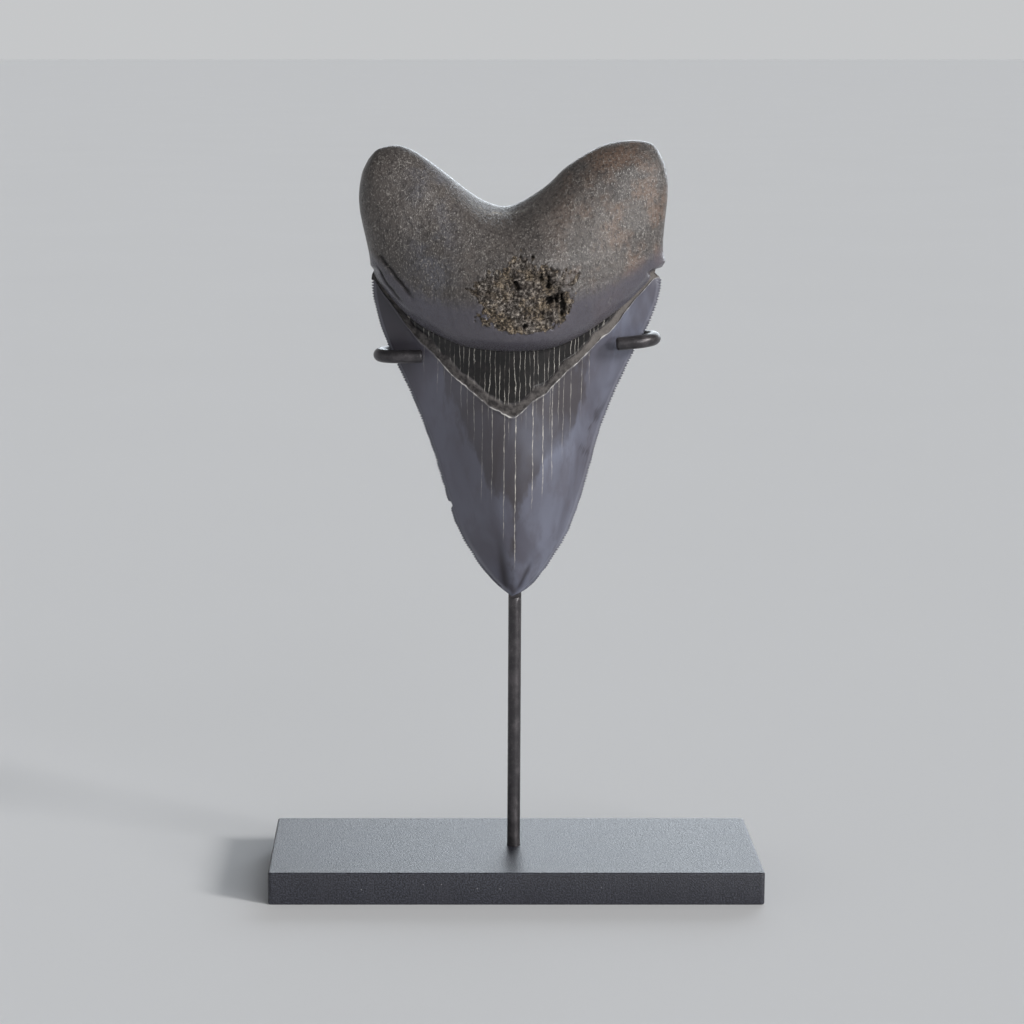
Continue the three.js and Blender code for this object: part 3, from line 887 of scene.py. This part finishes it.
    # the broken patch: pale crumbs with dark gaps between them, in brown clouds
    crumb = m.noise(0.9, 4, 0.8)
    sponge = m.noise(2.4, 4, 0.7)
    tint = m.blend(m.between(m.noise(5, 3), 0.42, 0.6), (0.2, 0.175, 0.155), (0.24, 0.185, 0.125))
    broken_colour = m.blend(m.between(crumb, 0.44, 0.57), (0.025, 0.018, 0.014), tint)
    broken_colour = m.blend(m.between(crumb, 0.58, 0.66), broken_colour, (0.5, 0.45, 0.38))
    broken_colour = m.blend(m.between(sponge, 0.5, 0.64, 0.0, 0.8), broken_colour, (0.035, 0.026, 0.02))
    broken_colour = m.blend(holes, broken_colour, (0.01, 0.007, 0.006))
    fray = m.math("MULTIPLY", m.math("SUBTRACT", m.noise(0.9, 4, 0.7, fibres), 0.5), 1.6)
    broken = m.between(m.math("ADD", broken, fray), 0.3, 0.7)
    bead = m.math("MULTIPLY", m.math("SUBTRACT", m.noise(0.9, 3, 0.65), 0.5), 1.5)
    lip = m.math("MULTIPLY", lip, m.between(m.math("ADD", lip, bead), 0.3, 0.8, 0.25, 1.0))

    colour = m.blend(root, crown, root_colour)
    colour = m.blend(band, colour, band_colour_and_shade)
    colour = m.blend(rim, colour, rim_colour)
    colour = m.blend(broken, colour, broken_colour)
    colour = m.blend(dark, colour, (0.008, 0.006, 0.006))
    # pale cracks and hairlines, and the painted highlight along the notch's rim
    colour = m.blend(pale, colour, (0.56, 0.53, 0.48))
    # the pale line on the enamel's lip is a painted highlight
    colour = m.blend(lip, colour, (0.62, 0.6, 0.57))

    crown_rough = m.between(mottle, 0.3, 0.7, 0.3, 0.42)
    root_rough = m.between(speck, 0.35, 0.65, 0.44, 0.18)
    roughness = m.blend(root, crown_rough, root_rough)
    roughness = m.blend(band, roughness, 0.3)
    roughness = m.blend(m.math("MAXIMUM", rim, broken), roughness, 0.8)
    roughness = m.blend(m.math("MAXIMUM", pale, lip), roughness, 0.8)

    polish = m.bump(m.noise(0.35, 3, 0.6), 0.012)
    scratches = m.bump(m.noise(2, 3, 0.6, m.stretched((1, 1, 0.12))), 0.02, polish)
    relief = m.math("ADD", m.math("MULTIPLY", grain, 0.6), m.math("MULTIPLY", speck, 0.55))
    rough_normal = m.bump(m.math("MULTIPLY", relief, m.math("MULTIPLY", root, grained)), 0.36, scratches)
    torn = m.math("MULTIPLY", m.noise(0.6, 5, 0.75), m.math("MAXIMUM", broken, rim))
    rough_normal = m.bump(torn, 0.45, rough_normal)
    return m.finish(colour, roughness, rough_normal, Specular_IOR_Level=0.45)


def base_material():
    """Dark satin coating with a fine speckle and a little dust."""
    m = Nodes(bpy.data.materials.new("base_steel"))
    speck = m.noise(0.5, 3, 0.7)
    cloud = m.noise(30, 3, 0.5)
    drawn = m.noise(2.2, 3, 0.6, m.stretched((1, 1, 0.1)))
    colour = m.blend(m.between(speck, 0.4, 0.66), (0.006, 0.006, 0.01), (0.046, 0.049, 0.066))
    colour = m.blend(m.between(cloud, 0.4, 0.65, 0.0, 0.3), colour, (0.012, 0.012, 0.018))
    colour = m.blend(m.between(drawn, 0.5, 0.75, 0.0, 0.25), colour, (0.036, 0.036, 0.046))
    dust = m.between(m.cells(4), 0.03, 0.06, 0.5, 0.0)
    colour = m.blend(dust, colour, (0.4, 0.4, 0.42))
    roughness = m.between(speck, 0.35, 0.65, 0.5, 0.34)
    normal = m.bump(speck, 0.14)
    return m.finish(colour, roughness, normal)


def rod_material():
    """Darkened steel rod, a little blotchy and worn."""
    m = Nodes(bpy.data.materials.new("rod_steel"))
    blotch = m.noise(4, 4, 0.6)
    fine = m.noise(0.5, 3, 0.6)
    colour = m.blend(m.between(blotch, 0.4, 0.7), (0.04, 0.037, 0.04), (0.08, 0.073, 0.077))
    colour = m.blend(m.between(fine, 0.58, 0.75, 0.0, 0.5), colour, (0.14, 0.13, 0.13))
    roughness = m.between(blotch, 0.3, 0.7, 0.3, 0.42)
    normal = m.bump(fine, 0.025, m.bump(blotch, 0.06))
    return m.finish(colour, roughness, normal, Metallic=0.5)


def floor_material():
    m = Nodes(bpy.data.materials.new("floor"))
    colour = m.blend(m.noise(300, 2), (0.73, 0.735, 0.745), (0.75, 0.755, 0.765))
    return m.finish(colour, 0.9, None, Specular_IOR_Level=0.0)


# ------------------------------------------------------------------ the stand


def ring_mesh(name, rings):
    """Joins rings of equally many points, in order, into a tube with closed ends."""
    n = len(rings[0])
    faces = []
    for k in range(len(rings) - 1):
        for j in range(n):
            a, b = k * n + j, k * n + (j + 1) % n
            faces.append((a, b, b + n, a + n))
    faces.append(tuple(range(n))[::-1])
    faces.append(tuple((len(rings) - 1) * n + j for j in range(n)))
    piece = new_object(name, np.vstack(rings), faces)
    piece.data.set_sharp_from_angle(angle=math.radians(40))
    return piece


def rounded_rectangle(half_x, half_y, radius, z, per_corner=11):
    """Four quarter circles, counter-clockwise from the middle of the right side."""
    points = []
    for corner, (side_x, side_y) in enumerate(((1, 1), (-1, 1), (-1, -1), (1, -1))):
        for k in range(per_corner + 1):
            angle = math.radians(90 * corner + 90 * k / per_corner)
            x = side_x * (half_x - radius) + radius * math.cos(angle)
            y = side_y * (half_y - radius) + radius * math.sin(angle)
            points.append((x, y, z))
    return np.array(points)


def circle(radius, z, count):
    angle = np.arange(count) * 2 * np.pi / count + np.pi / count
    return np.stack([radius * np.cos(angle), radius * np.sin(angle), 0 * angle + z], -1)


def make_base():
    low, high = (np.array(corner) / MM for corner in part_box("base"))
    half_x, half_y = (high - low)[:2] / 2
    corner, bevel, steps = 1.2, 0.5, 5
    quarter = np.arange(steps + 1) * np.pi / 2 / steps
    rings = [rounded_rectangle(half_x - 2 * bevel, half_y - 2 * bevel, 0.3, low[2])]
    for angle in quarter:
        inset, drop = bevel * (1 - np.sin(angle)), bevel * (1 - np.cos(angle))
        rings.append(rounded_rectangle(half_x - inset, half_y - inset, corner - inset, low[2] + drop))
    for angle in quarter[::-1]:
        inset, drop = bevel * (1 - np.sin(angle)), bevel * (1 - np.cos(angle))
        rings.append(rounded_rectangle(half_x - inset, half_y - inset, corner - inset, high[2] - drop))
    rings.append(rounded_rectangle(half_x - 2 * bevel, half_y - 2 * bevel, 0.3, high[2]))
    count = len(rings[0])
    # the socket that holds the post
    socket = ROD_RADIUS + SOCKET_GAP
    rings.append(circle(socket + 0.16, high[2], count))
    rings.append(circle(socket, high[2] - 0.14, count))
    rings.append(circle(socket, high[2] - SOCKET_DEPTH, count))
    return ring_mesh("base_block", rings)


def make_post():
    low, high = (np.array(corner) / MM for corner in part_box("post"))
    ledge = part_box("tooth")[0].z / MM - 0.3
    count, chamfer = 48, 0.3
    flat = LEDGE_DEPTH - ROD_RADIUS
    heights = list(np.linspace(low[2], ledge - 0.12, 60))
    rings = [circle(ROD_RADIUS, z, count) for z in heights]
    rings.append(circle(ROD_RADIUS - 0.1, ledge, count))
    upper = [(ledge, ROD_RADIUS - 0.02), (ledge + 0.1, ROD_RADIUS)]
    upper += [(z, ROD_RADIUS) for z in np.linspace(ledge + 1, high[2] - chamfer, 40)]
    upper.append((high[2], ROD_RADIUS - chamfer))
    for z, radius in upper:
        ring = circle(radius, z, count)
        ring[:, 1] = np.maximum(ring[:, 1], flat)
        rings.append(ring)
    return ring_mesh("post_rod", rings)


def sweep(name, route, radii, sides=36):
    """A rod along a route, with a radius at each of its points."""
    route = np.array(route)
    along = np.gradient(route, axis=0)
    along /= np.linalg.norm(along, axis=1)[:, None]
    across = np.array([0.0, 0.0, 1.0])
    angle = np.arange(sides) * 2 * np.pi / sides
    rings = []
    for place, forward, radius in zip(route, along, radii):
        across = across - forward * across.dot(forward)
        across /= np.linalg.norm(across)
        other = np.cross(forward, across)
        rings.append(place + radius * (np.outer(np.cos(angle), across) + np.outer(np.sin(angle), other)))
    return ring_mesh(name, rings)


def make_arm(node):
    """Half of the cross bar behind the tooth, its hook round the edge and its finger in front."""
    side = -1 if node == "left_arm" else 1
    slope = math.radians(SLOPE[node])
    low, high = (np.array(corner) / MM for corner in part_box(node))
    reach = max(abs(low[0]), abs(high[0]))
    hook = (high[1] - low[1]) / 2 - ROD_RADIUS
    back_y = high[1] - ROD_RADIUS
    bend = (reach - ROD_RADIUS) / math.cos(slope) - hook
    route = [(d, back_y) for d in np.linspace(0, bend, 40, endpoint=False)]
    for angle in np.linspace(0, np.pi, 49):
        route.append((bend + hook * math.sin(angle), back_y - hook * (1 - math.cos(angle))))
    finger = FINGER[node] - 0.5
    inner = np.array([0.25, 0.5, 0.75, 0.9, 0.97, 1])
    route += [(bend - d, back_y - 2 * hook) for d in finger * inner]
    # the finger's end is rounded over
    turn = np.radians([15, 32, 50, 68, 82])
    route += [(bend - finger - 0.8 * math.sin(a), back_y - 2 * hook) for a in turn]
    route = np.array(route)
    radii = np.full(len(route), ROD_RADIUS)
    radii[-5:] = ROD_RADIUS - 0.8 * (1 - np.cos(turn))
    # a bead of braze where the arm meets the post
    radii[:40] += 0.45 * hump(route[:40, 0], 2.1, 0.9)
    centre_z = (low[2] + ROD_RADIUS) if slope > 0 else (high[2] - ROD_RADIUS)
    start = 2.3 * abs(math.sin(slope))
    centre_z += -start if slope > 0 else start
    out_x = side * route[:, 0] * math.cos(slope)
    out_z = centre_z + route[:, 0] * math.sin(slope)
    return sweep(node + "_rod", np.stack([out_x, route[:, 1], out_z], -1), radii)


# ------------------------------------------------------------------ stage


def make_floor():
    size = 30.0
    mesh = bpy.data.meshes.new("floor")
    corners = [(-size, -size, 0), (size, -size, 0), (size, size, 0), (-size, size, 0)]
    mesh.from_pydata(corners, [], [(0, 1, 2, 3)])
    floor = bpy.data.objects.new("floor", mesh)
    bpy.context.scene.collection.objects.link(floor)
    return floor


def make_camera():
    data = bpy.data.cameras.new("camera")
    data.lens, data.sensor_width = 97.24, 36
    # the photographer stood a little to the left and framed the tooth without turning
    data.shift_x = 0.0817
    data.clip_start, data.clip_end = 0.05, 100
    camera = bpy.data.objects.new("camera", data)
    bpy.context.scene.collection.objects.link(camera)
    bpy.context.scene.camera = camera
    camera.location = (-0.02657, -0.8328, 0.25864)
    camera.rotation_euler = (math.radians(90 - 9.77), 0, 0)


def add_sun(name, place, energy, spread, colour):
    """Even light from the direction of a place; spread is the width of its disc in degrees."""
    data = bpy.data.lights.new(name, "SUN")
    data.energy, data.angle, data.color = energy, math.radians(spread), colour
    light = bpy.data.objects.new(name, data)
    light.rotation_mode = "QUATERNION"
    light.rotation_quaternion = (-Vector(place)).to_track_quat("-Z", "Y")
    bpy.context.scene.collection.objects.link(light)


def light_scene():
    add_sun("key", (0.79, -0.46, 0.41), 2.2, 14, (1, 0.985, 0.965))
    add_sun("softbox", (0.39, -0.84, 0.38), 0.6, 40, (0.98, 0.985, 1))
    add_sun("low_strip", (0.61, -0.785, 0.09), 0.85, 12, (1, 0.99, 0.98))
    add_sun("back", (0.29, 0.93, 0.28), 1.65, 45, (0.84, 0.92, 1))
    light_world()


def light_world():
    """A plain soft sky: as pale as the floor near the horizon, darker overhead."""
    w = Nodes(bpy.data.worlds.new("soft_grey"), "Generated")
    spot = w.add("ShaderNodeSeparateXYZ")
    w.feed(spot.inputs[0], w.place)
    background = w.tree.nodes["Background"]
    w.feed(background.inputs["Strength"], w.between(spot.outputs["Z"], 0.15, 0.6, 0.58, 0.14))
    background.inputs["Color"].default_value = (0.97, 0.985, 1, 1)
    bpy.context.scene.world = w.owner
    bpy.context.scene.view_settings.view_transform = "Standard"


# ------------------------------------------------------------------ assembly


def fit(piece, material, slot, *nodes):
    piece.data.materials.append(material)
    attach(piece, "root")
    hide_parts(*nodes)


rods = rod_material()
fit(make_tooth(), fossil_material(), "fossil", "tooth")
fit(make_base(), base_material(), "base_steel", "base")
fit(make_post(), rods, "rod_steel", "post")
fit(make_arm("left_arm"), rods, "rod_steel", "left_arm")
fit(make_arm("right_arm"), rods, "rod_steel", "right_arm")

floor = make_floor()
floor.data.materials.append(floor_material())
floor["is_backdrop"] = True
make_camera()
light_scene()

visual_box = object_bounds()
[list(corner) for corner in CAD_BOX]
[list(corner) for corner in visual_box]
